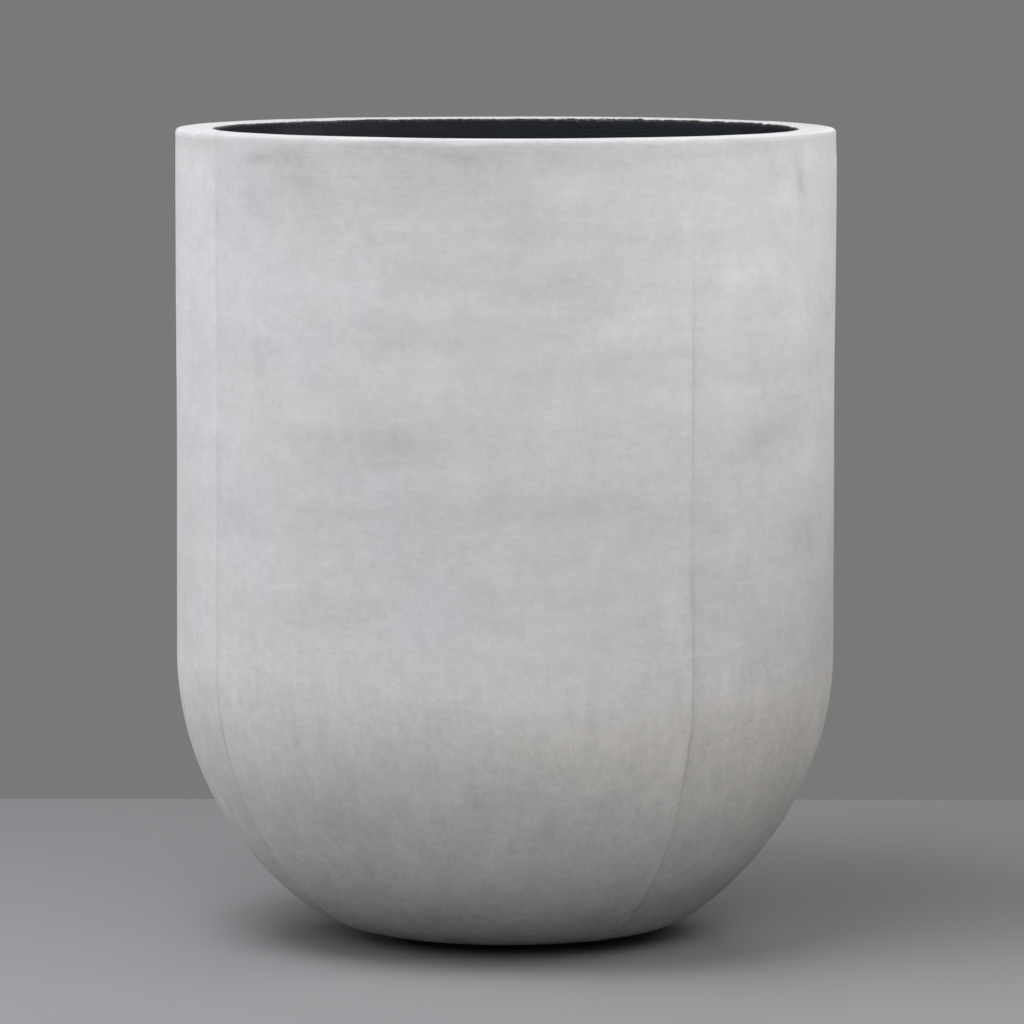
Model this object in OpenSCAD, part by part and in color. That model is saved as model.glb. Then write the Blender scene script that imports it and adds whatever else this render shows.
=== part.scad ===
// Tall round floor planter: straight cylindrical wall running into a bowl
// that is cut flat by a raised base. A thin cast shell with a thick rim
// return, a brushed-on waterproof lining, a drain sleeve with its bung, and
// four pads under the base. Millimetres, Z up, standing on Z = 0.

/* [Body] */
// Outside diameter of the straight wall
outer_d = 822; // [800:2:1000]
// Height of the cast body, from its flat base to the top of the rim
body_h = 1000; // [850:5:1200]
// Height above the base at which the bowl turns into the straight wall
shoulder_h = 347; // [335:1:355]
// How much smaller the bowl's curve is than the wall's own radius
bowl_inset = 10; // [4:1:16]
// Radius of the roll between the bowl and the flat base
base_round = 131; // [60:1:140]

/* [Wall and rim] */
// Thickness of the cast wall
wall_t = 16; // [12:1:24]
// Thickness of the floor over the base
floor_t = 24; // [18:1:36]
// Width of the flat rim, seen from above
rim_w = 48; // [36:1:60]
// Depth of the rim's vertical inner face
rim_depth = 50; // [35:1:70]
// Rounding on both top edges of the rim
rim_round = 5; // [2:0.5:8]

/* [Lining] */
// Thickness of the brushed waterproof lining
lining_t = 2; // [1:0.5:4]
// Bare band left between the top of the rim and the lining
lining_drop = 7; // [6:1:30]

/* [Drain] */
// Bore of the drain sleeve
drain_d = 32; // [20:1:50]
// Wall of the drain sleeve
sleeve_t = 4; // [3:0.5:6]
// How far the sleeve's flange stands out past the sleeve
flange_w = 14; // [10:1:20]
// Thickness of that flange
flange_t = 4; // [3:0.5:6]
// How far the sleeve stands out under the base as a drip lip
drip_lip = 4; // [2:0.5:5]
// Diameter of the bung's head
bung_head_d = 50; // [44:1:60]
// Radial play of the bung's stem in the sleeve
bung_play = 0.3; // [0.2:0.1:0.5]
// Length of the bung's stem below its head
bung_stem = 26; // [18:1:30]

/* [Pads] */
// Height of each pad under the base
pad_h = 10; // [8:1:16]
// Diameter of each pad
pad_d = 60; // [40:2:64]
// Distance of each pad's centre in from the edge of the flat base
pad_inset = 38; // [36:1:45]

/* [Hidden] */
$fn = 180;

outer_r = outer_d / 2;
base_z = pad_h;                       // underside of the cast body
top_z = base_z + body_h;              // top of the rim
sho_z = base_z + shoulder_h;          // bowl meets wall
floor_z = base_z + floor_t;           // inside floor of the casting
bowl_r = outer_r - bowl_inset;        // radius of the bowl's curve
in_r = outer_r - wall_t;              // inside of the wall
mouth_r = outer_r - rim_w;            // inside of the rim
neck_z = top_z - rim_depth;           // bottom of the rim's inner face
flare_z = neck_z - (in_r - mouth_r);  // bottom of the 45 degree underside
hole_r = drain_d / 2 + sleeve_t + 0.1;
flange_r = drain_d / 2 + sleeve_t + flange_w;
roll_r = bowl_r - base_round;          // bowl's centre to the roll's centre
roll_z = shoulder_h - base_round;      // the same, measured down
flat_r = bowl_inset + sqrt(roll_r * roll_r - roll_z * roll_z); // flat base
meet_z = sho_z - roll_z * bowl_r / roll_r;  // bowl runs into the roll here
pad_reach = flat_r - pad_inset;        // pad centres from the middle

grey = [0.74, 0.74, 0.73];
tar = [0.09, 0.09, 0.11];
pvc = [0.55, 0.56, 0.57];
rubber = [0.10, 0.10, 0.10];

// Box in the drawing plane given by two opposite corners
module box2(x0, y0, x1, y1) translate([x0, y0]) square([x1 - x0, y1 - y0]);

// Quarter disc of radius r round (x, y), on the side given by sx and sy
module quarter(x, y, r, sx, sy)
    intersection() {
        translate([x, y]) circle(r = r);
        box2(sx > 0 ? x : x - r, sy > 0 ? y : y - r,
             sx > 0 ? x + r : x, sy > 0 ? y + r : y);
    }

// Half outline of a bowl with a straight wall over it, from z = lo to z = hi.
// r is the wall's radius and b the radius of the bowl's curve.
module bowl_outline(r, b, lo, hi) {
    intersection() {
        translate([r - b, sho_z]) circle(r = b);
        box2(0, lo, r, sho_z);
    }
    box2(0, sho_z, r, hi);
}

// Half outline of the cast body filled solid: base, roll, bowl and wall
module body_outline(hi) {
    box2(0, base_z, flat_r, meet_z);
    intersection() {
        translate([flat_r, base_z + base_round]) circle(r = base_round);
        box2(flat_r, base_z, flat_r + base_round, meet_z);
    }
    bowl_outline(outer_r, bowl_r, meet_z, hi);
}

// Half outline of the space inside the casting, brought in by t all round
module hollow_outline(t, hi) {
    bowl_outline(in_r - t, bowl_r - wall_t - t, floor_z + t, flare_z - 0.5 * t);
    polygon([[0, flare_z - 0.5 * t], [in_r - t, flare_z - 0.5 * t],
             [mouth_r - t, neck_z - 0.5 * t], [0, neck_z - 0.5 * t]]);
    box2(0, neck_z - 0.5 * t, mouth_r - t, hi);
}

// The cast body, turned from one half section
module shell() color(grey)
    rotate_extrude() {
        difference() {
            body_outline(top_z - rim_round);
            hollow_outline(0, top_z);
            box2(-1, base_z - 1, hole_r, floor_z + 1);
        }
        box2(mouth_r + rim_round, top_z - rim_round, outer_r - rim_round, top_z);
        quarter(mouth_r + rim_round, top_z - rim_round, rim_round, -1, 1);
        quarter(outer_r - rim_round, top_z - rim_round, rim_round, 1, 1);
    }

// Waterproof lining: one even coat over everything inside the casting
module inner_lining() color(tar)
    rotate_extrude()
        difference() {
            hollow_outline(0, top_z - lining_drop);
            hollow_outline(lining_t, top_z);
            box2(-1, base_z, flange_r + 0.2, floor_z + flange_t + 1);
        }

// Flanged sleeve set through the floor
module drain_sleeve() color(pvc)
    rotate_extrude() {
        box2(drain_d / 2, base_z - drip_lip, drain_d / 2 + sleeve_t, floor_z + flange_t);
        box2(drain_d / 2 + sleeve_t, floor_z, flange_r - 1, floor_z + flange_t);
        box2(flange_r - 1, floor_z, flange_r, floor_z + flange_t - 1);
    }

// Push-in bung: stem, head and mushroom grip in one moulding
module drain_bung() color(rubber) {
    seat_z = floor_z + flange_t;
    stem_r = drain_d / 2 - bung_play;
    head_r = bung_head_d / 2;
    rotate_extrude() {
        // stem with a tapered nose
        polygon([[0, seat_z - bung_stem], [stem_r - 4, seat_z - bung_stem],
                 [stem_r, seat_z - bung_stem + 8], [stem_r, seat_z], [0, seat_z]]);
        // head with a rounded top edge
        box2(0, seat_z, head_r, seat_z + 3);
        box2(0, seat_z + 3, head_r - 3, seat_z + 6);
        quarter(head_r - 3, seat_z + 3, 3, 1, 1);
        // neck and mushroom grip
        polygon([[0, seat_z + 6], [9, seat_z + 6], [6, seat_z + 10],
                 [6, seat_z + 17], [0, seat_z + 17]]);
        box2(0, seat_z + 17, 12, seat_z + 19);
        box2(0, seat_z + 19, 8, seat_z + 23);
        quarter(8, seat_z + 19, 4, 1, 1);
    }
}

// One pad: a short round block with an eased lower edge
module pad(sx, sy) color(rubber)
    translate([sx * pad_reach * sqrt(0.5), sy * pad_reach * sqrt(0.5), 0])
        rotate_extrude()
            polygon([[0, 0], [pad_d / 2 - 2, 0], [pad_d / 2, 2],
                     [pad_d / 2, pad_h], [0, pad_h]]);

module pad_front_left() pad(-1, -1);
module pad_front_right() pad(1, -1);
module pad_back_left() pad(-1, 1);
module pad_back_right() pad(1, 1);

shell();
inner_lining();
drain_sleeve();
drain_bung();
pad_front_left();
pad_front_right();
pad_back_left();
pad_back_right();
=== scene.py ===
"""Looks of a round cast floor planter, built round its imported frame. Metres, Z up."""
import math

import bpy
import numpy as np
from mathutils import Matrix, Vector


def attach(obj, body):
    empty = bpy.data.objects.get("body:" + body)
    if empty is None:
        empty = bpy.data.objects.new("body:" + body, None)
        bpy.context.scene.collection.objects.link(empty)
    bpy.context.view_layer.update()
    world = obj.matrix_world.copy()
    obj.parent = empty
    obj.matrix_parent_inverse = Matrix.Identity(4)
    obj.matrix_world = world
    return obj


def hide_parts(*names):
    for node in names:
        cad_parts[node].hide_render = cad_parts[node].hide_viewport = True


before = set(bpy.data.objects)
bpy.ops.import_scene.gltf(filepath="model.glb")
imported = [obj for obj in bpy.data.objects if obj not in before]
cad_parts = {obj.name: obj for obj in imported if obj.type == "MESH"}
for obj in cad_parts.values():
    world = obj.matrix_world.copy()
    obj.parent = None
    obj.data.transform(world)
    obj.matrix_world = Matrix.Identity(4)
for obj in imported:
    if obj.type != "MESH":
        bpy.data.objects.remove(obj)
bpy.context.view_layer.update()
scene = bpy.context.scene

# ------------------------------------------------------------------ sizes of the casting
PAD = 0.010                      # the pads hold the casting this far off the floor
R = 0.411                        # outside of the straight wall
TOP = PAD + 1.000                # top of the rim
SHO = PAD + 0.347                # bowl turns into the wall
BOWL_R, BOWL_C = 0.401, 0.010    # the bowl's curve and how far its centre is off the axis
ROLL_R, FLAT_R = 0.131, 0.172    # roll between bowl and base, and the flat base
RIM_IN, RND = 0.363, 0.005       # inside of the rim, rounding of its two edges
IN_R = 0.395
NECK, FLARE = TOP - 0.050, TOP - 0.082
FLOOR = PAD + 0.024
HOLE = 0.0201
FLANGE = 0.0342
ROLL_DEG = math.degrees(math.atan2(162, 216))   # the bowl runs into the roll here
SEAMS = [math.radians(d) for d in (33.1, 122.5, 212.5, 301.5)]   # mould seams, from -Y towards +X
MM = 0.001


# ------------------------------------------------------------------ helpers
def arc(cx, cz, r, a0, a1, n):
    """Points of an arc. Angles in degrees, from straight down round towards +r."""
    t = np.radians(np.linspace(a0, a1, n))
    return np.stack([cx + r * np.sin(t), cz - r * np.cos(t)], 1)


def line(p, q, n):
    t = np.linspace(0, 1, n)[:, None]
    return np.array(p) * (1 - t) + np.array(q) * t


def smooth(x, lo, hi):
    t = np.clip((x - lo) / (hi - lo), 0, 1)
    return t * t * (3 - 2 * t)


NA, NZ, SPAN, LOW = 1536, 640, 1.30, -0.20   # samples of a field round and up, its height, its foot


def field(seed, *octaves):
    """Soft random field over the outside. Each octave is its weight and its grain in metres, along and up."""
    rng = np.random.default_rng(seed)
    fa = np.fft.rfftfreq(NA, 2 * math.pi * R / NA)[None, :]
    fz = np.fft.fftfreq(NZ, SPAN / NZ)[:, None]
    out = 0
    for weight, along, up in octaves:
        wave = np.fft.rfft2(rng.standard_normal((NZ, NA)))
        f = np.fft.irfft2(wave * np.exp(-2 * math.pi ** 2 * ((along * fa) ** 2 + (up * fz) ** 2)), s=(NZ, NA))
        out = out + weight * f / f.std()
    return out / out.std()


def sample(f, az, h):
    x = (az / (2 * math.pi) % 1.0) * NA
    y = np.clip((h - LOW) / SPAN, 0, 1) * (NZ - 1.001)
    x0, y0 = np.floor(x).astype(int), np.floor(y).astype(int)
    fx, fy = x - x0, y - y0
    xa, xb = x0 % NA, (x0 + 1) % NA
    return (f[y0, xa] * (1 - fx) + f[y0, xb] * fx) * (1 - fy) + (f[y0 + 1, xa] * (1 - fx) + f[y0 + 1, xb] * fx) * fy


def wrap(a):
    return (a + math.pi) % (2 * math.pi) - math.pi


def build(name, points, uv_u, uv_v, attributes, material):
    """A closed ring of rows x columns x 3 points, whose last row joins the first."""
    rows, cols = points.shape[:2]
    i = np.arange(rows)[:, None]
    j = np.arange(cols)[None, :]
    ib, jb = (i + 1) % rows, (j + 1) % cols
    quads = np.stack([i * cols + j, i * cols + jb, ib * cols + jb, ib * cols + j], -1).reshape(-1, 4)
    me = bpy.data.meshes.new(name)
    me.from_pydata(points.reshape(-1, 3).tolist(), [], quads.tolist())
    for key, values in attributes.items():
        me.attributes.new(key, "FLOAT", "POINT").data.foreach_set("value", values.astype(np.float32).ravel())
    u0 = np.broadcast_to(uv_u[:-1][None, :], (rows, cols))
    u1 = np.broadcast_to(uv_u[1:][None, :], (rows, cols))
    v0 = np.broadcast_to(uv_v[:-1][:, None], (rows, cols))
    v1 = np.broadcast_to(uv_v[1:][:, None], (rows, cols))
    uv = np.stack([u0, v0, u1, v0, u1, v1, u0, v1], -1).reshape(-1)
    me.uv_layers.new(name="OFBake").data.foreach_set("uv", uv.astype(np.float32))
    me.shade_smooth()
    me.update()
    ob = bpy.data.objects.new(name, me)
    scene.collection.objects.link(ob)
    me.materials.append(material)
    return ob


def along_rows(p):
    """Running length along the rows of (r, z) points, closed back to the first, from 0 to 1."""
    d = np.linalg.norm(np.diff(np.concatenate([p, p[:1]]), axis=0), axis=1)
    return np.concatenate([[0], np.cumsum(d)]) / d.sum()


def outward(p):
    """Unit normals of a closed (r, z) outline that runs anticlockwise, pointing out of it."""
    t = np.roll(p, -1, 0) - np.roll(p, 1, 0)
    n = np.stack([t[:, 1], -t[:, 0]], 1)
    return n / np.linalg.norm(n, axis=1)[:, None]


# ------------------------------------------------------------------ node helpers
class Nodes:
    def __init__(self, name):
        self.mat = bpy.data.materials.new(name)
        self.mat.use_nodes = True
        self.tree = self.mat.node_tree
        self.shader = self.tree.nodes["Principled BSDF"]
        self.at = self.node("ShaderNodeTexCoord").outputs["Object"]

    def node(self, kind, **props):
        n = self.tree.nodes.new(kind)
        for k, v in props.items():
            setattr(n, k, v)
        return n

    def put(self, value, socket):
        if isinstance(value, bpy.types.NodeSocket):
            self.tree.links.new(value, socket)
        else:
            socket.default_value = value

    def math(self, op, a, b=0.0, c=0.0, clamp=False):
        n = self.node("ShaderNodeMath", operation=op, use_clamp=clamp)
        for v, s in zip((a, b, c), n.inputs):
            self.put(v, s)
        return n.outputs[0]

    def scaled(self, x, y, z, rot=(0, 0, 0), vector=None):
        n = self.node("ShaderNodeMapping")
        self.put(vector or self.at, n.inputs["Vector"])
        n.inputs["Scale"].default_value = (x, y, z)
        n.inputs["Rotation"].default_value = rot
        return n.outputs[0]

    def noise(self, vector, scale, detail=3.0, rough=0.55, warp=0.0):
        """Noise centred on 0, from about -1 to 1."""
        n = self.node("ShaderNodeTexNoise")
        self.put(vector, n.inputs["Vector"])
        n.inputs["Scale"].default_value = scale
        n.inputs["Detail"].default_value = detail
        n.inputs["Roughness"].default_value = rough
        n.inputs["Distortion"].default_value = warp
        return self.math("MULTIPLY_ADD", n.outputs[0], 2.0, -1.0)

    def spots(self, vector, scale, radius, keep, seed=0.0):
        """1 in small round spots, on about this share of the cells, and 0 elsewhere."""
        v = self.node("ShaderNodeTexVoronoi", feature="F1")
        self.put(self.moved(vector, seed), v.inputs["Vector"])
        v.inputs["Scale"].default_value = scale
        v.inputs["Randomness"].default_value = 1.0
        near = self.ramp(v.outputs["Distance"], radius, radius * 0.45)
        w = self.node("ShaderNodeSeparateColor")
        self.put(v.outputs["Color"], w.inputs[0])
        some = self.math("GREATER_THAN", w.outputs[0], 1 - keep)
        return self.math("MULTIPLY", self.math("MULTIPLY", near, some), self.math("MULTIPLY_ADD", w.outputs[1], 0.6, 0.4))

    def moved(self, vector, by):
        n = self.node("ShaderNodeVectorMath", operation="ADD")
        self.put(vector, n.inputs[0])
        n.inputs[1].default_value = (by, by * 1.7, by * 0.6)
        return n.outputs[0]

    def ramp(self, value, lo, hi, a=0.0, b=1.0):
        n = self.node("ShaderNodeMapRange", interpolation_type="SMOOTHSTEP")
        self.put(value, n.inputs["Value"])
        n.inputs["From Min"].default_value = lo
        n.inputs["From Max"].default_value = hi
        n.inputs["To Min"].default_value = a
        n.inputs["To Max"].default_value = b
        return n.outputs[0]

    def attribute(self, name):
        return self.node("ShaderNodeAttribute", attribute_name=name).outputs["Fac"]

    def sum(self, *terms):
        """Sum of (value, weight) pairs."""
        total = 0.0
        for value, weight in terms:
            total = self.math("MULTIPLY_ADD", value, weight, total)
        return total

    def mix(self, share, a, b):
        n = self.node("ShaderNodeMix", data_type="RGBA")
        self.put(share, n.inputs[0])
        self.put(a if isinstance(a, bpy.types.NodeSocket) else (*a, 1), n.inputs[6])
        self.put(b if isinstance(b, bpy.types.NodeSocket) else (*b, 1), n.inputs[7])
        return n.outputs[2]

    def times(self, color, value):
        n = self.node("ShaderNodeVectorMath", operation="SCALE")
        self.put(color if isinstance(color, bpy.types.NodeSocket) else color, n.inputs[0])
        self.put(value, n.inputs["Scale"])
        return n.outputs[0]

    def bump(self, height, depth, then=None):
        n = self.node("ShaderNodeBump")
        n.inputs["Distance"].default_value = depth
        self.put(height, n.inputs["Height"])
        if then is not None:
            self.put(then, n.inputs["Normal"])
        return n.outputs[0]

    def finish(self, color, rough, normal=None, **plain):
        self.put(color, self.shader.inputs["Base Color"])
        self.put(rough, self.shader.inputs["Roughness"])
        if normal is not None:
            self.put(normal, self.shader.inputs["Normal"])
        for k, v in plain.items():
            self.shader.inputs[k.replace("_", " ")].default_value = v
        return self.mat


# ------------------------------------------------------------------ camera
yaw, roll, pitch = 0.00107, 0.00117, 0.09745
sy, cy, sp, cp = math.sin(yaw), math.cos(yaw), math.sin(pitch), math.cos(pitch)
right, up, ahead = Vector((cy, -sy, 0)), Vector((sy * sp, cy * sp, cp)), Vector((sy * cp, cy * cp, -sp))
turned = Matrix((
    right * math.cos(roll) + up * math.sin(roll),
    up * math.cos(roll) - right * math.sin(roll),
    -ahead,
)).transposed().to_4x4()
turned.translation = Vector((0, -7.7282, 1.2838))
cam = bpy.data.objects.new("camera", bpy.data.cameras.new("camera"))
cam.data.sensor_width, cam.data.lens, cam.data.clip_end = 36, 217.882, 200
scene.collection.objects.link(cam)
cam.matrix_world = turned
scene.camera = cam


# ------------------------------------------------------------------ concrete
def concrete():
    n = Nodes("cast_concrete")
    tone, lower, rim_top_shade, foot_darker = (n.attribute(k) for k in ("tone", "lower", "rim_top_shade", "foot_darker"))
    # trowel and brush strokes: level ones on the wall, crossed and upright ones on the bowl
    level = n.noise(n.scaled(7, 7, 52), 1.0, 4, 0.6, 0.4)
    level_fine = n.noise(n.scaled(30, 30, 190), 1.0, 3, 0.6, 0.2)
    upright = n.noise(n.scaled(95, 95, 9), 1.0, 3, 0.6, 0.3)
    cloud = n.noise(n.at, 13, 5, 0.62, 0.6)
    blotch = n.noise(n.at, 34, 4, 0.6, 0.8)
    mottle = n.noise(n.scaled(72, 72, 88), 1.0, 3, 0.6, 0.5)
    grain = n.noise(n.at, 210, 3, 0.6)
    sand = n.noise(n.at, 620, 2, 0.5)
    strokes = n.math("MULTIPLY", level, n.ramp(lower, 0.0, 1.0, 1.0, 0.75))
    streak = n.math("MULTIPLY", n.noise(n.scaled(40, 40, 6.5), 1.0, 3, 0.6, 0.4), n.ramp(lower, 0.0, 1.0, 0.10, 1.0))
    hatch = n.math("MULTIPLY", upright, n.ramp(lower, 0.0, 1.0, 0.25, 1.0))
    mottle_more = n.math("MULTIPLY", mottle, n.ramp(lower, 0.0, 1.0, 0.90, 1.15))
    fine = n.math("MULTIPLY", n.sum((grain, 0.070), (sand, 0.050)), n.ramp(lower, 0.0, 1.0, 0.75, 1.75))
    blotch_more = n.math("MULTIPLY", blotch, n.ramp(lower, 0.0, 1.0, 0.9, 1.2))
    value = n.sum((strokes, 0.055), (level_fine, 0.055), (streak, 0.085), (hatch, 0.085), (cloud, 0.062), (blotch_more, 0.078), (mottle_more, 0.100), (fine, 1.0))
    value = n.math("ADD", value, tone)
    pits = n.spots(n.at, 75, 0.085, 0.030)
    flecks = n.spots(n.at, 110, 0.10, 0.020, 3.1)
    value = n.math("MULTIPLY_ADD", pits, -0.16, value)
    value = n.math("MULTIPLY_ADD", flecks, 0.09, value)
    value = n.math("ADD", value, 1.0)
    tint = n.noise(n.at, 5.5, 3, 0.6)
    base = n.mix(n.ramp(tint, -0.5, 0.5), (0.562, 0.553, 0.569), (0.569, 0.557, 0.555))
    base = n.mix(n.ramp(lower, 0.2, 1.0, 0.0, 0.85), base, (0.580, 0.554, 0.524))
    # the roll and the base turn darker and browner towards the floor
    base = n.mix(foot_darker, base, (0.40, 0.385, 0.36))
    # painted shade: the rim's top and the up-facing part of its rounded edges take a colour darker than the wall,
    # against the strong light from above
    base = n.mix(rim_top_shade, base, (0.497, 0.497, 0.508))
    color = n.times(base, value)
    rough = n.sum((cloud, 0.06), (grain, 0.04))
    rough = n.math("ADD", rough, 0.80, clamp=True)
    height = n.sum((grain, 0.35), (sand, 0.2), (blotch, 0.55), (level_fine, 0.3), (pits, -1.4))
    return n.finish(color, rough, n.bump(height, 0.00020), Specular_IOR_Level=0.3)


# outline of the casting, anticlockwise seen with the axis on the left; each part with its name
CREASE = math.radians(ROLL_DEG)
parts = [
    ("hole", line((HOLE, FLOOR), (HOLE, PAD), 2)),
    ("base", line((HOLE, PAD), (FLAT_R, PAD), 8)),
    ("roll", arc(FLAT_R, PAD + ROLL_R, ROLL_R, 0, ROLL_DEG - 3.0, 11)),
    ("roll", arc(FLAT_R, PAD + ROLL_R, ROLL_R, ROLL_DEG - 3.0, ROLL_DEG, 6)),
    ("bowl", arc(BOWL_C, SHO, BOWL_R, ROLL_DEG, ROLL_DEG + 1.2, 6)),
    ("bowl", arc(BOWL_C, SHO, BOWL_R, ROLL_DEG + 1.2, ROLL_DEG + 4.8, 5)),
    ("bowl", arc(BOWL_C, SHO, BOWL_R, ROLL_DEG + 4.8, ROLL_DEG + 6.3, 7)),
    ("bowl", arc(BOWL_C, SHO, BOWL_R, ROLL_DEG + 6.3, 90, 45)),
    ("wall", line((R, SHO), (R, TOP - 0.030), 82)),
    ("wall", line((R, TOP - 0.030), (R, TOP - RND), 7)),
    ("edge", arc(R - RND, TOP - RND, RND, 90, 180, 7)),
    ("rim", line((R - RND, TOP), (RIM_IN + RND, TOP), 7)),
    ("lip", arc(RIM_IN + RND, TOP - RND, RND, 180, 270, 7)),
    ("in", line((RIM_IN, TOP - RND), (RIM_IN, NECK), 6)),
    ("in", line((RIM_IN, NECK), (IN_R, FLARE), 3)),
    ("in", line((IN_R, FLARE), (IN_R, SHO), 5)),
    ("in", arc(BOWL_C, SHO, BOWL_R - 0.016, 90, 33.0, 9)),
    ("in", line((BOWL_C + 0.385 * math.sin(math.radians(33.0)), FLOOR), (HOLE, FLOOR), 6)),
]
pts, tag = [], []
for k, (name, p) in enumerate(parts):
    p = p[1:] if k else p
    pts.append(p)
    tag += [name] * len(p)
profile = np.concatenate(pts)[:-1]
tag = np.array(tag[:-1])
# height up the outside along its own surface, equal to z on the wall
h_row = np.where(profile[:, 1] >= SHO, profile[:, 1], 0.0)
bowl_deg = np.degrees(np.arctan2(profile[:, 0] - BOWL_C, SHO - profile[:, 1]))
roll_deg = np.degrees(np.arctan2(profile[:, 0] - FLAT_R, PAD + ROLL_R - profile[:, 1]))
h_join = SHO - BOWL_R * math.radians(90 - ROLL_DEG)
h_foot = h_join - ROLL_R * math.radians(ROLL_DEG)
h_row = np.where(tag == "bowl", SHO - BOWL_R * np.radians(90 - bowl_deg), h_row)
h_row = np.where(tag == "roll", h_join - ROLL_R * np.radians(ROLL_DEG - roll_deg), h_row)
h_row = np.where(tag == "base", h_foot - 0.3 * (FLAT_R - profile[:, 0]), h_row)

near = np.array([0.0, 0.35, 0.75, 1.2, 1.8, 2.6, 3.6, 5.0, 7.0, 10.0, 14.0, 19.0])
near = np.concatenate([-near[:0:-1], near]) * MM / R
azimuths = [np.linspace(0, 2 * math.pi, 350, endpoint=False)]
azimuths[0] = azimuths[0][np.min([np.abs(wrap(azimuths[0] - s)) for s in SEAMS], 0) > 0.024 / R]
azimuths += [(s + near) % (2 * math.pi) for s in SEAMS]
az = np.sort(np.concatenate(azimuths))
A, H = np.meshgrid(az, h_row)
rr = np.broadcast_to(profile[:, 0][:, None], A.shape)
# the first seam isn't quite upright: it leans to the right towards its foot, and the mesh goes with it
lean = np.interp(H, [-0.02, 0.03, 0.07, 0.12, 0.16, 0.22, 0.30, 0.50], [8.2, 8.2, 8.0, 5.4, 2.8, 1.2, 2.0, -2.0])
A = A + lean * MM / np.maximum(rr, 0.15) * np.exp(-((wrap(A - SEAMS[0]) / 0.12) ** 2))
outer = np.isin(tag, ["roll", "bowl", "wall", "edge"])[:, None]
skin = np.isin(tag, ["roll", "bowl", "wall", "edge", "rim", "lip"])[:, None]
top_row = np.isin(tag, ["edge", "rim", "lip"])[:, None]

swell = field(11, (1.0, 0.17, 0.13), (0.45, 0.06, 0.05))
push = 0.40 * sample(swell, A, H) * smooth(H, h_foot, h_foot + 0.05) * (1 - smooth(H, 0.96, 1.0))

# ---- seams of the mould: a soft ridge, a fine groove, a slight step, and painted shade and light along them
seam_h = np.array([-0.12, 0.0, 0.05, 0.20, 0.30, 0.36, 0.42, 0.50, 0.60, 0.70, 0.82, 0.88, 0.93, 1.00])
seam_look = {
    # painted dark line in the groove, its width in mm, painted shade on the right, painted light on the left flank,
    # painted step in tone across
    0: ([.08, .12, .135, .115, .065, .055, .050, .055, .072, .065, .045, .020, .012, .006],
        [1.8, 1.9, 2.0, 2.2, 3.2, 3.4, 4.5, 4.5, 3.4, 3.0, 3.0, 2.5, 2.5, 3.0],
        [.010, .03, .05, .060, .070, .080, .085, .090, .088, .095, .075, .025, .01, .00],
        [.000, .00, .01, .015, .015, .010, .015, .015, .020, .025, .026, .012, .00, .00],
        [.015, .02, .03, .035, .030, .018, .005, .000, .000, .000, .000, .000, .00, .00]),
    3: ([.08, .11, .12, .100, .070, .050, .042, .042, .042, .042, .042, .042, .04, .03],
        [2.6, 2.6, 2.6, 2.8, 3.2, 3.6, 3.8, 3.8, 3.8, 4.0, 4.0, 4.0, 4.0, 4.0],
        [.000, .00, .00, -.01, -.01, .00, .00, .00, .00, .00, .00, .00, .00, .00],
        [-.03, -.03, -.02, -.01, .00, .00, .01, .012, .015, .015, .015, .015, .01, .00],
        [-.04, -.05, -.05, -.04, -.015, .010, .020, .025, .03, .03, .032, .03, .02, .01]),
    1: ([.07, .09, .09, .09, .08, .060, .05, .050, .050, .05, .04, .03, .02, .010],
        [1.5, 1.5, 1.5, 1.5, 1.7, 2.0, 2.6, 3.0, 2.2, 1.9, 1.8, 2.0, 2.0, 2.0],
        [.00, .00, .01, .01, .01, .02, .02, .02, .01, .01, .01, .01, .00, .00],
        [.00, .00, .00, .00, .01, .01, .01, .00, .00, .01, .01, .01, .00, .00],
        [-.01, -.01, -.01, -.01, .00, .00, .00, .00, .00, .00, .00, .00, .00, .00]),
}
seam_look[2] = seam_look[1]
painted_shading = np.zeros_like(A)
wander = field(23, (1.0, 0.5, 0.03))
for k, s0 in enumerate(SEAMS):
    d = wrap(A - s0) * np.where(outer, rr, R) / MM
    d = d + 0.5 * sample(wander, np.full_like(A, s0), H) - (lean if k == 0 else 0)
    line_, width, shade, painted_light_left, step = (np.interp(H, seam_h, v) for v in seam_look[k])
    uneven = 1 + 0.30 * sample(wander, np.full_like(A, s0 + 1.0), H)
    crisp = np.exp(-((d / width) ** 2))
    push += uneven * (0.30 * np.exp(-((d / 8) ** 2)) - (0.10 + 4.0 * line_) * np.exp(-((d / np.maximum(width * 0.7, 0.8)) ** 2)) - (0.05 + 8 * step) * np.tanh(d / 1.5) * np.exp(-np.abs(d) / 25))
    # painted shade: a dark line in the groove and shade to its right; painted light on the left flank; a painted step
    # in tone across the seam
    painted_shading += -uneven * line_ * crisp - uneven * shade * np.exp(-np.abs(d) / 11) * smooth(d, -0.6, 1.0)
    painted_shading += painted_light_left * np.exp(-(((d + 10) / 7.5) ** 2)) - step * np.tanh(d / 1.8) * np.exp(-np.abs(d) / 34)

# nick at the foot of the first seam, and the crease where bowl and roll meet, both dented into the mesh and given
# painted shade, with a painted lighter band under the crease
d0 = wrap(A - SEAMS[0]) * rr / MM - lean
nick = np.exp(-((((H - (h_join + 0.039)) / MM) / 1.7) ** 2)) * smooth(d0, -10, -7) * (1 - smooth(d0, 0.5, 2))
push -= 0.9 * nick * outer
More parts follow.
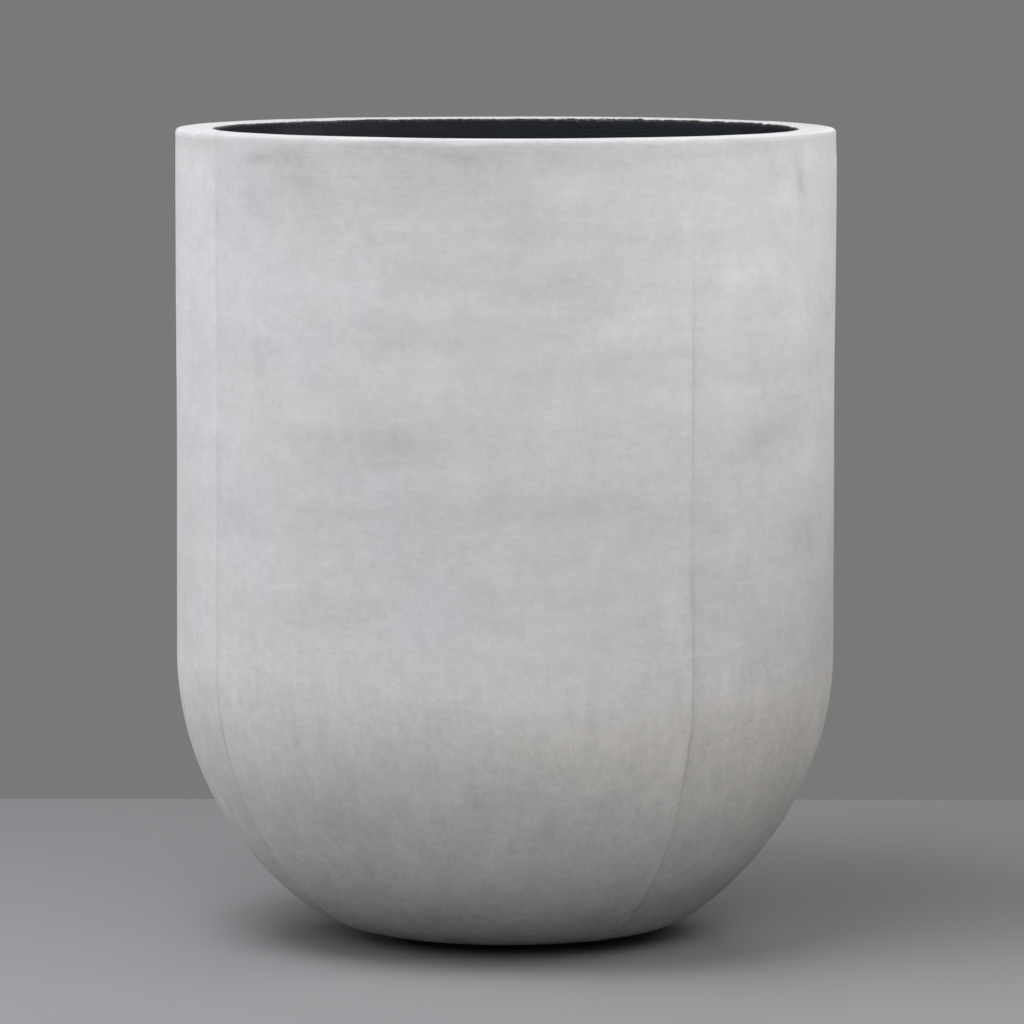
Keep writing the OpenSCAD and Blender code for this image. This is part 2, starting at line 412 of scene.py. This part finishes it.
# painted shade in the nick
painted_shading -= 0.22 * nick * outer
crease_az = smooth(A, math.radians(38), math.radians(57)) * (1 - smooth(A, math.radians(96), math.radians(112)))
crease_az = crease_az + 0.7 * smooth(A, math.radians(196), math.radians(222)) * (1 - smooth(A, math.radians(262), math.radians(288)))
ch = (H - (h_join + 0.0012 * np.sin(3 * A) + 0.004 * crease_az)) / MM
push += crease_az * (0.35 * np.exp(-(((ch + 5) / 4) ** 2)) - 0.75 * np.exp(-((ch / 1.3) ** 2)))
# painted shade in the crease and a painted lighter band just under it
painted_shading += crease_az * (0.05 * np.exp(-(((ch + 6) / 4) ** 2)) - 0.28 * np.exp(-((ch / 1.5) ** 2)))

# ---- points
nrm = outward(profile)
r_pts = profile[:, 0][:, None] + nrm[:, 0][:, None] * push * MM * outer
z_pts = profile[:, 1][:, None] + nrm[:, 1][:, None] * push * MM * outer
# the rim was struck off by hand: its top, its outer and its inner edge all waver a little
ring = np.zeros_like(A)
waver = field(31, (1.0, 0.09, 0.5), (0.7, 0.022, 0.5))
waver_out = field(32, (1.0, 0.05, 0.5), (0.9, 0.012, 0.5))
waver_in = field(33, (1.0, 0.04, 0.5), (1.0, 0.010, 0.5))
high = lambda deg, wide: np.exp(-((wrap(A - math.radians(deg)) / math.radians(wide)) ** 2))
up_down = -0.50 + 0.12 * np.clip(sample(waver, A, ring + 0.5), -1.5, 1.5) + 0.5 * high(146, 16) + 0.5 * high(112, 14) - 0.4 * high(190, 14)
z_pts = z_pts + up_down * MM * np.where(top_row, 1.0, 0.0) * smooth(z_pts, TOP - 0.010, TOP - 0.003)
z_pts = z_pts - 0.12 * MM * np.clip(sample(waver_out, A, ring + 0.5), 0, 2) * (tag == "edge")[:, None]
r_pts = r_pts - 0.20 * MM * np.clip(sample(waver_out, A, ring + 0.3), 0, 2) * (tag == "edge")[:, None]
z_pts = z_pts - 0.15 * MM * np.clip(sample(waver_in, A, ring + 0.5), 0, 2) * (tag == "lip")[:, None]
shell_r, shell_z = r_pts, np.minimum(z_pts, TOP)
shell_pts = np.stack([shell_r * np.sin(A), -shell_r * np.cos(A), shell_z], -1)

# ---- tone: soft random strokes and clouds, and the larger marks where they lie
strokes_f = field(41, (1.0, 0.075, 0.014), (0.8, 0.035, 0.008), (0.6, 0.15, 0.04))
clouds_f = field(42, (1.0, 0.055, 0.040), (0.7, 0.024, 0.020), (0.6, 0.13, 0.12))
patch_f = field(43, (1.0, 0.020, 0.016), (0.8, 0.011, 0.010))
bend_a = field(44, (1.0, 0.035, 0.025), (0.6, 0.014, 0.012))
bend_h = field(45, (1.0, 0.045, 0.022), (0.6, 0.016, 0.010))
S, C, P = sample(strokes_f, A, H), sample(clouds_f, A, H), sample(patch_f, A, H)
BA, BH = sample(bend_a, A, H), sample(bend_h, A, H)
wall_share = smooth(H, 0.25, 0.50)
tone = 0.013 * S * (0.35 + 0.65 * wall_share) + 0.012 * C + 0.008 * P


def stroke(a_deg, h, half_a, half_h, tilt, levels):
    """A soft patch: where it lies, its half length and half height in mm, its tilt, and how much it lightens in percent."""
    da = wrap(A - math.radians(a_deg)) * R / MM + 9 * BA
    dh = (H - h) / MM + 6 * BH
    c, s = math.cos(math.radians(tilt)), math.sin(math.radians(tilt))
    x, y = da * c + dh * s, dh * c - da * s
    g = np.exp(-((x / half_a) ** 2 + (y / half_h) ** 2))
    return 0.01 * levels * g * (1 + 0.35 * P)


for m in (
    # upper wall, under the rim
    (-43, 0.988, 85, 9, 0, -9), (-36, 0.965, 30, 11, 0, -6), (-8, 0.996, 70, 7, 0, -6), (32, 0.985, 60, 9, 0, -5),
    (9, 0.985, 40, 10, 0, -3), (62, 0.955, 15, 34, 0, -15), (61, 0.962, 6, 30, 0, -7), (-47, 0.992, 26, 5, 0, -6), (-33, 0.978, 12, 6, 0, -5), (52, 0.955, 42, 20, 0, 4),
    # wall
    (-13, 0.850, 62, 12, -10, -6), (9, 0.838, 70, 15, 4, -7), (15, 0.832, 32, 28, 0, -3), (28, 0.880, 34, 24, 25, -6),
    (-18, 0.776, 78, 16, 0, -7), (-48, 0.735, 45, 26, 0, -6), (-32, 0.650, 120, 24, 0, -4), (-17, 0.640, 78, 20, 0, -5),
    (6, 0.727, 58, 16, 0, -4), (51, 0.640, 70, 34, 16, -9), (24, 0.580, 78, 36, 0, -5), (-28, 0.562, 120, 16, 0, -4),
    (12, 0.505, 50, 17, 8, -6), (4, 0.495, 20, 24, 0, -4), (-32, 0.440, 42, 22, -25, -7), (21, 0.435, 52, 17, 0, -4),
    (64, 0.520, 60, 30, 18, -5), (-51, 0.548, 28, 36, 0, -4), (-55, 0.815, 26, 40, 0, -3),
    (-32, 0.856, 40, 14, 0, 4), (17, 0.770, 80, 17, 7, 5), (-13, 0.724, 52, 12, 0, 4), (-13, 0.602, 78, 8, 3, 4),
    (48, 0.850, 48, 22, 0, 6), (60, 0.760, 26, 38, 0, 5), (63, 0.590, 58, 20, 25, 6), (3, 0.415, 50, 30, 0, 4),
    (-39, 0.468, 34, 7, -12, 4), (47, 0.345, 60, 26, 0, 4), (40, 0.530, 22, 38, 0, 4), (10, 0.925, 32, 18, 0, 3),
    # bowl
    (-4, 0.222, 16, 26, 0, -7), (10, 0.170, 14, 24, 0, -4), (-11, 0.322, 32, 18, 0, -4), (-22, 0.190, 13, 60, 8, 4),
    (-17, 0.095, 14, 40, 8, 4), (8, 0.282, 26, 10, 0, 4), (28, 0.460, 13, 36, 0, 4), (-38, 0.250, 9, 60, -4, -4),
    (-30, 0.170, 8, 70, 6, -3), (22, 0.200, 34, 20, 0, -3),
):
    tone += stroke(*m)
rng = np.random.default_rng(77)
for _ in range(46):     # the same kind of work on the sides that face away
    a_deg, h = rng.uniform(92, 268), rng.uniform(0.30, 0.97)
    long, tall = rng.uniform(26, 85), rng.uniform(10, 30)
    tone += stroke(a_deg, h, long, tall, rng.uniform(-18, 18), rng.choice([-1, 1], p=[0.58, 0.42]) * rng.uniform(3, 7))
tone = np.where(outer, tone, 0.35 * tone * skin) + painted_shading * outer
# painted shade: the outward-facing part of the rim's rounded outer edge and the wall just under the rim are darkened
tone -= 0.15 * (1 - smooth(nrm[:, 1], 0.45, 0.98))[:, None] * (tag == "edge")[:, None] + 0.06 * smooth(H, 0.972, 0.998) * (tag == "wall")[:, None]
tone += 0.12 * np.exp(-(((H - 0.26) / 0.12) ** 2)) * outer - 0.28 * (1 - smooth(H, -0.05, 0.13)) * outer   # painted light half way down the bowl and painted shade at its foot
# painted shade: the upper wall is darker all round, most on the front-left
tone -= (0.03 + 0.09 * np.exp(-((wrap(A + 0.38) / 0.75) ** 2))) * smooth(H, 0.80, 0.98) * outer
# painted light on the right side of the wall, from mid height up
tone += 0.11 * np.exp(-((wrap(A - 1.38) / 0.36) ** 2)) * smooth(H, 0.40, 0.62) * outer
tone += 0.09 * np.exp(-((wrap(A - 1.50) / 0.20) ** 2)) * smooth(H, 0.45, 0.62) * outer
# painted shade on the front-right of the bowl
tone -= 0.15 * np.exp(-((wrap(A - 0.96) / 0.42) ** 2) - ((H - 0.27) / 0.13) ** 2) * outer
lower = np.broadcast_to(1 - smooth(H, 0.22, 0.52), A.shape)
# a random field that varies how far and how strongly the rim's painted shade reaches
worn = sample(field(51, (1.0, 0.03, 0.02)), A, ring + 0.7)
# painted shade on the up-facing rim: its top, its inner rounded lip and the up-facing part of the outer rounding
rim_top_shade = np.where(np.isin(tag, ["rim", "lip"])[:, None], 1.0, 0.0) + 0.0 * A
rim_top_shade = np.where((tag == "edge")[:, None], smooth(nrm[:, 1][:, None] + 0.08 * worn, 0.50, 0.95), rim_top_shade)
rim_top_shade = np.clip(rim_top_shade * (0.92 + 0.10 * worn), 0, 1)
# darker and browner towards the floor on the roll, the base and the drain hole
foot_darker = 0.5 * (1 - smooth(H, h_foot - 0.01, h_foot + 0.04)) * np.isin(tag, ["roll", "base", "hole"])[:, None]
foot_darker = np.clip(foot_darker * (1 + 0.5 * C), 0, 1)

uv_u = np.concatenate([az, [az[0] + 2 * math.pi]]) / (2 * math.pi)
uv_u = (uv_u - uv_u[0]) * 0.998 + 0.001
out_len = along_rows(profile)
weights = np.where(tag == "in", 0.22, 1.0) * np.diff(out_len)
uv_v = np.concatenate([[0], np.cumsum(weights)])
uv_v = uv_v / uv_v[-1] * 0.998 + 0.001

shell = build("shell_casting", shell_pts, uv_u, uv_v,
              {"tone": tone, "lower": lower, "rim_top_shade": rim_top_shade, "foot_darker": foot_darker}, concrete())
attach(shell, "pot")
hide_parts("shell")


# ------------------------------------------------------------------ lining
def lining_material():
    n = Nodes("black_lining")
    fringe, lining_lighter, chips = (n.attribute(k) for k in ("fringe", "lining_lighter", "chips"))
    sweep = n.noise(n.scaled(9, 9, 120), 1.0, 4, 0.65, 0.5)
    fine = n.noise(n.scaled(40, 40, 420), 1.0, 3, 0.6, 0.3)
    blot = n.noise(n.at, 18, 4, 0.6, 0.5)
    value = n.sum((sweep, 0.30), (fine, 0.20), (blot, 0.35))
    value = n.math("ADD", value, 1.0)
    # a lighter, bluer colour on the lining where the mask is set
    color = n.mix(lining_lighter, (0.0056, 0.0070, 0.0104), (0.0290, 0.0320, 0.0420))
    color = n.times(color, value)
    worn = n.math("MULTIPLY", fringe, n.ramp(n.noise(n.at, 160, 3, 0.6), -0.35, 0.25))
    color = n.mix(worn, color, (0.200, 0.160, 0.125))
    flake = n.math("MULTIPLY", chips, n.ramp(n.noise(n.scaled(230, 230, 420), 1.0, 3, 0.6), 0.02, 0.22))
    color = n.mix(flake, color, (0.36, 0.34, 0.33))
    rough = n.math("ADD", n.sum((sweep, 0.10), (blot, 0.08), (fringe, 0.25)), 0.50, clamp=True)
    height = n.sum((sweep, 0.6), (fine, 0.4), (blot, 0.3))
    return n.finish(color, rough, n.bump(height, 0.0005), Specular_IOR_Level=0.09)


# inside of the casting, from the top of its inner lip down, as one path
path = np.concatenate([
    arc(RIM_IN + RND, TOP - RND, RND, 180, 270, 13),
    line((RIM_IN, TOP - RND), (RIM_IN, NECK), 40)[1:],
    line((RIM_IN, NECK), (IN_R, FLARE), 12)[1:],
    line((IN_R, FLARE), (IN_R, SHO), 60)[1:],
    arc(BOWL_C, SHO, BOWL_R - 0.016, 90, math.degrees(math.acos((SHO - FLOOR) / 0.385)), 60)[1:],
])
path = np.concatenate([path, line(path[-1], (FLANGE, FLOOR), 20)[1:]])
path_len = np.concatenate([[0], np.cumsum(np.linalg.norm(np.diff(path, axis=0), axis=1))])
tangent = np.gradient(path, path_len, axis=0)
tangent /= np.linalg.norm(tangent, axis=1)[:, None]
into = np.stack([tangent[:, 1], -tangent[:, 0]], 1)      # towards the space inside
if into[30, 0] > 0:
    into = -into


def on_path(q, off):
    r = np.interp(q, path_len, path[:, 0]) + np.interp(q, path_len, into[:, 0]) * off
    z = np.interp(q, path_len, path[:, 1]) + np.interp(q, path_len, into[:, 1]) * off
    return r, z


LCOLS = 1200
laz = np.linspace(0, 2 * math.pi, LCOLS, endpoint=False)
ragged = sample(field(61, (0.5, 0.05, 0.5), (0.6, 0.012, 0.5), (1.0, 0.0035, 0.5), (0.7, 0.0018, 0.5)), laz, 0 * laz + 0.5)
drips = sample(field(63, (1.0, 0.006, 0.5)), laz, 0 * laz + 0.5)
loose = np.exp(-((wrap(laz - math.radians(150)) / math.radians(24)) ** 2))      # where the coat's edge is rougher
edge_q = (3.3 + (0.32 + 0.35 * loose) * np.clip(ragged, -1.8, 2.5) + 1.3 * smooth(drips, 1.7, 2.6)) * MM
edge_q = edge_q - 0.9 * MM * np.exp(-((wrap(laz - math.radians(135)) / math.radians(28)) ** 2)) + 0.9 * MM * np.exp(-((wrap(laz - math.radians(232)) / math.radians(16)) ** 2))
end_q = path_len[-1]
inner_q = np.array([0.0, 0.25, 0.8, 1.8, 3.2, 5.2, 8.0, 12.0, 18.0, 26.0, 36.0, 46.0]) * MM
rest_q = np.concatenate([np.linspace(0.0530, 0.0980, 4), np.linspace(0.135, 0.66, 7), np.linspace(0.70, 1.02, 7), np.linspace(1.05, end_q - 0.004, 4), [end_q - 0.0015, end_q]])
rest_q = rest_q[rest_q <= end_q + 1e-9]
rows_q, rows_off = [], []
brush = field(62, (1.0, 0.06, 0.006), (0.6, 0.03, 0.012))
for d in inner_q:
    follow = 1 - smooth(d, 0.012, 0.045)
    q = edge_q * follow + 0.0065 * (1 - follow) + d
    thick = 0.35 * smooth(d, 0.0, 0.0005) + 1.65 * smooth(d, 0.001, 0.028)
    relief = 0.16 * sample(brush, laz, 1.0 - q) * smooth(d, 0.0005, 0.004)
    rows_q.append(q)
    rows_off.append((thick + relief) * MM - 0.00030 * (d == 0))
for q in rest_q:
    fade = 1 - smooth(q, 0.9, 1.05)
    rows_q.append(0 * laz + q)
    rows_off.append((2.0 + 0.16 * sample(brush, laz, np.clip(1.0 - q, LOW, 1.05) + 0 * laz) * fade) * MM)
rows_off[-1] = rows_off[-1] * 0 + 0.0020
back_q = [end_q, end_q - 0.05, 1.05, 0.9, 0.75, 0.66, 0.135, 0.098, 0.053, 0.030]
for q in back_q:     # the side against the casting, sunk a hair into it
    rows_q.append(0 * laz + q)
    rows_off.append(0 * laz - 0.0003)
rows_q.append(edge_q + 0.003)
rows_off.append(0 * laz - 0.0003)
LQ, LO = np.array(rows_q), np.array(rows_off)
lr, lz = on_path(LQ, LO)
drop = np.interp(laz, np.concatenate([az, [2 * math.pi]]), np.concatenate([up_down[0], up_down[0][:1]])) * MM
lz = lz + drop[None, :] * smooth(lz, TOP - 0.012, TOP - 0.003)
lining_pts = np.stack([lr * np.sin(laz), -lr * np.cos(laz), lz], -1)
fringe = np.exp(-np.maximum(LQ - edge_q[None, :], 0) / (1.1 * MM))
# a lighter, bluer patch on the lining at the back-left and a lighter band near its top edge
lining_lighter = (np.exp(-((wrap(laz - math.radians(236)) / math.radians(24)) ** 2)) * (0.75 + 0.2 * sample(field(64, (1.0, 0.03, 0.5)), laz, 0 * laz)))[None, :] * (1 - smooth(LQ, 0.10, 0.40))
lining_lighter = np.clip(lining_lighter + 0.18 * (1 - smooth(LQ, 0.02, 0.30)), 0, 1)
chips = np.exp(-((np.maximum(LQ - edge_q[None, :], 0) / (2.6 * MM)) ** 2)) * (0.25 + 0.75 * np.exp(-((wrap(laz - math.radians(161)) / math.radians(7)) ** 2)))[None, :]
front = len(inner_q) + len(rest_q)
steps = np.abs(np.diff(np.concatenate([LQ.mean(1), LQ.mean(1)[:1]]))) + 0.0005
steps = steps * np.where(np.arange(len(steps)) < front - 1, 1.0, 0.05)
lv = np.concatenate([[0], np.cumsum(steps)])
lv = lv / lv[-1] * 0.998 + 0.001
lu = np.linspace(0, 1, LCOLS + 1) * 0.998 + 0.001
lining = build("lining_coat", lining_pts[::-1], lu, lv, {"fringe": fringe[::-1], "lining_lighter": lining_lighter[::-1], "chips": chips[::-1]}, lining_material())
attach(lining, "pot")
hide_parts("inner_lining")


# ------------------------------------------------------------------ small parts keep their CAD shape
def rubber(name, dark, dusty, rough):
    n = Nodes(name)
    cloud = n.noise(n.at, 60, 4, 0.6)
    grain = n.noise(n.at, 900, 3, 0.6)
    dust = n.ramp(n.math("ADD", n.math("MULTIPLY", grain, 0.5), cloud), 0.0, 0.7, 0.05, 0.55)
    color = n.mix(dust, dark, dusty)
    r = n.math("ADD", n.sum((cloud, 0.06), (grain, 0.05)), rough, clamp=True)
    return n.finish(color, r, n.bump(n.sum((grain, 0.6), (cloud, 0.4)), 0.00012), Specular_IOR_Level=0.4)


def pvc():
    n = Nodes("grey_pvc")
    cloud = n.noise(n.at, 45, 3, 0.5)
    turned_marks = n.noise(n.scaled(20, 20, 900), 1.0, 2, 0.5)
    grain = n.noise(n.at, 700, 2, 0.5)
    color = n.times((0.235, 0.245, 0.255), n.math("ADD", n.sum((cloud, 0.08), (grain, 0.05), (turned_marks, 0.03)), 1.0))
    r = n.math("ADD", n.sum((cloud, 0.08), (grain, 0.06)), 0.42, clamp=True)
    return n.finish(color, r, n.bump(n.sum((turned_marks, 0.5), (grain, 0.5)), 0.00006), Specular_IOR_Level=0.5)


def dress(node, material):
    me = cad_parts[node].data
    me.materials.clear()
    me.materials.append(material)


dress("drain_sleeve", pvc())
dress("drain_bung", rubber("bung_rubber", (0.020, 0.020, 0.021), (0.060, 0.058, 0.055), 0.62))
pad_look = rubber("pad_rubber", (0.016, 0.016, 0.017), (0.075, 0.072, 0.068), 0.75)
for side in ("front_left", "front_right", "back_left", "back_right"):
    dress("pad_" + side, pad_look)

# ------------------------------------------------------------------ floor, lights and surroundings
fl = bpy.data.meshes.new("floor")
fl.from_pydata([(-7, -7, 0), (7, -7, 0), (7, 1.14, 0), (-7, 1.14, 0)], [], [(0, 1, 2, 3)])
floor = bpy.data.objects.new("floor", fl)
scene.collection.objects.link(floor)
fm = Nodes("studio_floor")
haze = fm.noise(fm.at, 1.6, 3, 0.5)
fl.materials.append(fm.finish(fm.times((0.212, 0.215, 0.220), fm.math("MULTIPLY_ADD", haze, 0.03, 1.0)),
                              fm.math("MULTIPLY_ADD", haze, 0.03, 0.78), None, Specular_IOR_Level=0.3))


def softbox(name, x, y, z, size, watts, color=(1, 1, 1)):
    li = bpy.data.lights.new(name, "AREA")
    li.shape, li.size, li.energy, li.color = "SQUARE", size, watts, color
    ob = bpy.data.objects.new(name, li)
    scene.collection.objects.link(ob)
    ob.location = (x, y, z)
    ob.visible_camera = False
    ob.rotation_mode = "QUATERNION"
    ob.rotation_quaternion = (Vector((0, 0, 0.5)) - Vector((x, y, z))).to_track_quat("-Z", "Y")


cool, plain, warm = (0.935, 0.962, 1.0), (0.990, 0.993, 1.0), (1.0, 0.990, 0.960)
softbox("front_left", -1.788, -2.131, 1.524, 1.5, 4.6, cool)
softbox("front_middle", 0.0, -2.2, 1.2, 1.0, 8.0, plain)
softbox("front_right", 0.9, -1.5, 1.6, 0.8, 8.4, plain)
softbox("left_high", -2.013, -0.539, 2.558, 1.5, 5.3, cool)
softbox("left_front_high", -1.340, -1.596, 2.558, 1.5, 7.0, cool)
softbox("left_middle", -2.3, -1.0, 1.2, 1.1, 3.9, cool)
softbox("left_near", -1.6, -0.4, 1.3, 0.8, 2.9, cool)
softbox("left_low", -2.3, 0.7, 0.75, 0.9, 10.1, cool)
softbox("left_behind", -1.2, 0.5, 1.6, 0.8, 1.7, cool)
softbox("right_near", 1.6, -0.4, 1.3, 0.8, 5.5, warm)
softbox("right_high", 1.3, -0.6, 1.7, 0.8, 6.4, warm)
softbox("top_left", -1.086, -0.291, 3.18, 1.5, 18.0, plain)
softbox("top_front", -0.722, -0.861, 3.18, 1.5, 16.0, plain)
softbox("far_top_left", -2.2, -0.6, 5.6, 2.4, 56.0, cool)
softbox("far_top_front", -1.2, -2.0, 5.6, 2.4, 90.2, plain)
softbox("behind", 0.4, 3.6, 2.0, 1.6, 18, plain)
world = bpy.data.worlds.new("world")
scene.world = world
world.use_nodes = True
world.node_tree.nodes["Background"].inputs["Color"].default_value = (0.190, 0.192, 0.194, 1)
world.node_tree.nodes["Background"].inputs["Strength"].default_value = 1.0
scene.view_settings.view_transform = "Standard"
